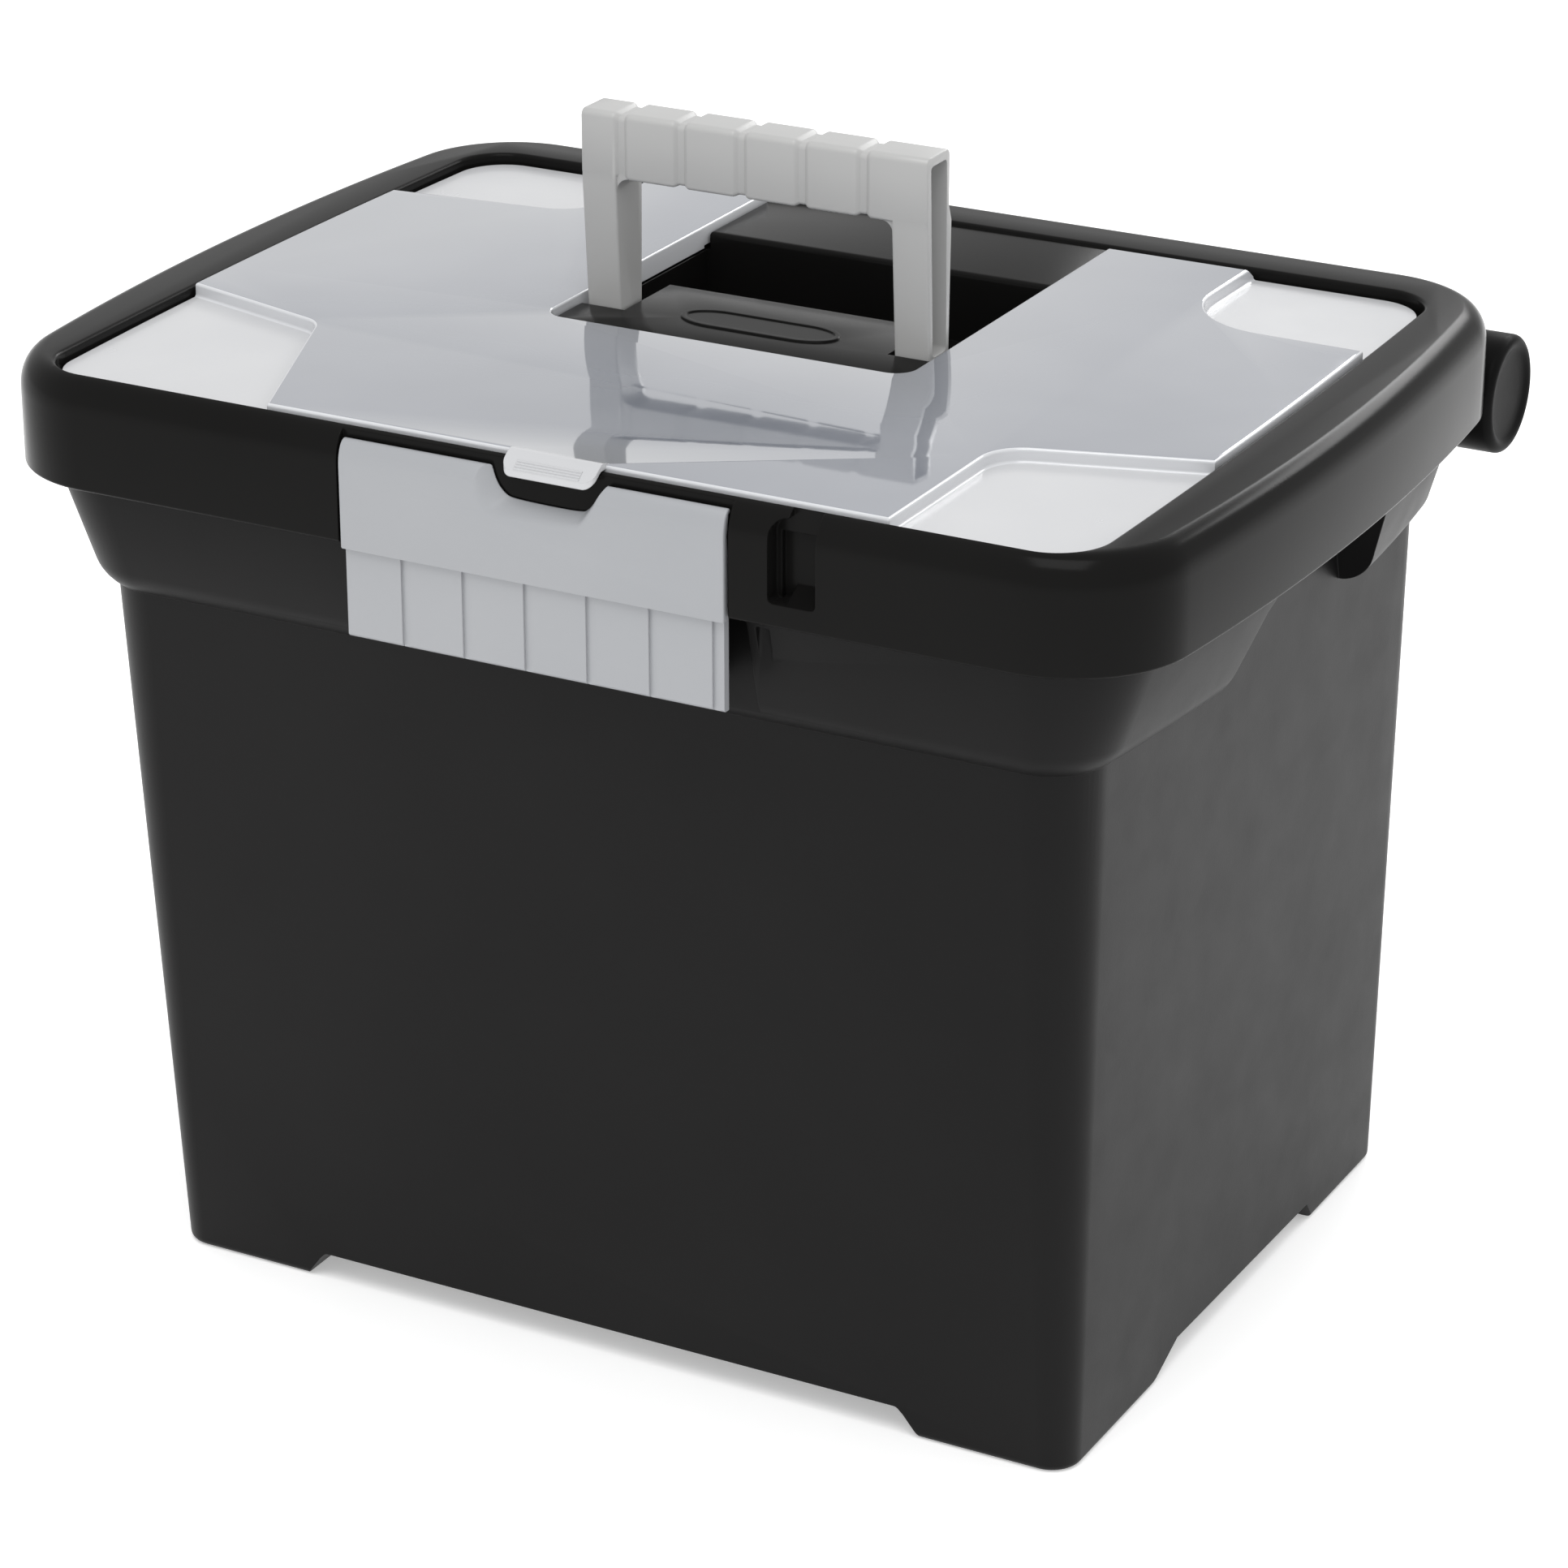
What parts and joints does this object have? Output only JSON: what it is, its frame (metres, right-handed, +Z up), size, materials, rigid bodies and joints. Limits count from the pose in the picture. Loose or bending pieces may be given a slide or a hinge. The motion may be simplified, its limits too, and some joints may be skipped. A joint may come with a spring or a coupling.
{
  "type": "tool storage caddy",
  "caption": "Drafted plastic carry bin with an organizer lid, a clear hinged cover, a fold-down grip handle and a front latch.",
  "frame": {"origin": "middle of the overall box in X and Y, on the floor under the feet", "axes": "+X to the right as seen from the latch side, +Y towards the rear hinge, +Z up"},
  "size_m": [0.3524, 0.282, 0.3285],
  "materials": {
    "bin_plastic": "satin black polypropylene",
    "lid_plastic": "semi-gloss black polypropylene",
    "clear_cover": "milky see-through polypropylene",
    "handle_grey": "light grey moulded plastic",
    "latch_grey": "cool light grey moulded plastic",
    "hinge_plastic": "black moulded plastic",
    "pin_steel": "plain",
    "clear_pin": "natural plastic"
  },
  "bodies": {
    "base": {"base_bin": "bin_plastic", "hinge_pin_left": "hinge_plastic", "hinge_pin_right": "hinge_plastic", "latch_pin": "pin_steel"},
    "lid": {"lid_shell": "lid_plastic", "handle_pin_left": "handle_grey", "handle_pin_right": "handle_grey", "cover_pin_left": "clear_pin", "cover_pin_right": "clear_pin"},
    "cover": {"organizer_cover": "clear_cover"},
    "handle": {"carry_handle": "handle_grey"},
    "latch": {"front_latch": "latch_grey"}
  },
  "joints": [
    {"name": "lid_hinge", "type": "hinge", "parent": "base", "child": "lid", "pos_m": [0, 0.124, 0.239], "axis": [-1, 0, 0], "range_deg": [0, 105]},
    {"name": "cover_hinge", "type": "hinge", "parent": "lid", "child": "cover", "pos_m": [0, 0.084, 0.2682], "axis": [-1, 0, 0], "range_deg": [0, 95]},
    {"name": "handle_pivot", "type": "hinge", "parent": "lid", "child": "handle", "pos_m": [0, -0.0104, 0.262], "axis": [-1, 0, 0], "range_deg": [0, 90]},
    {"name": "latch_pivot", "type": "hinge", "parent": "base", "child": "latch", "pos_m": [0.002, -0.131, 0.2225], "axis": [1, 0, 0], "range_deg": [0, 90]}
  ]
}
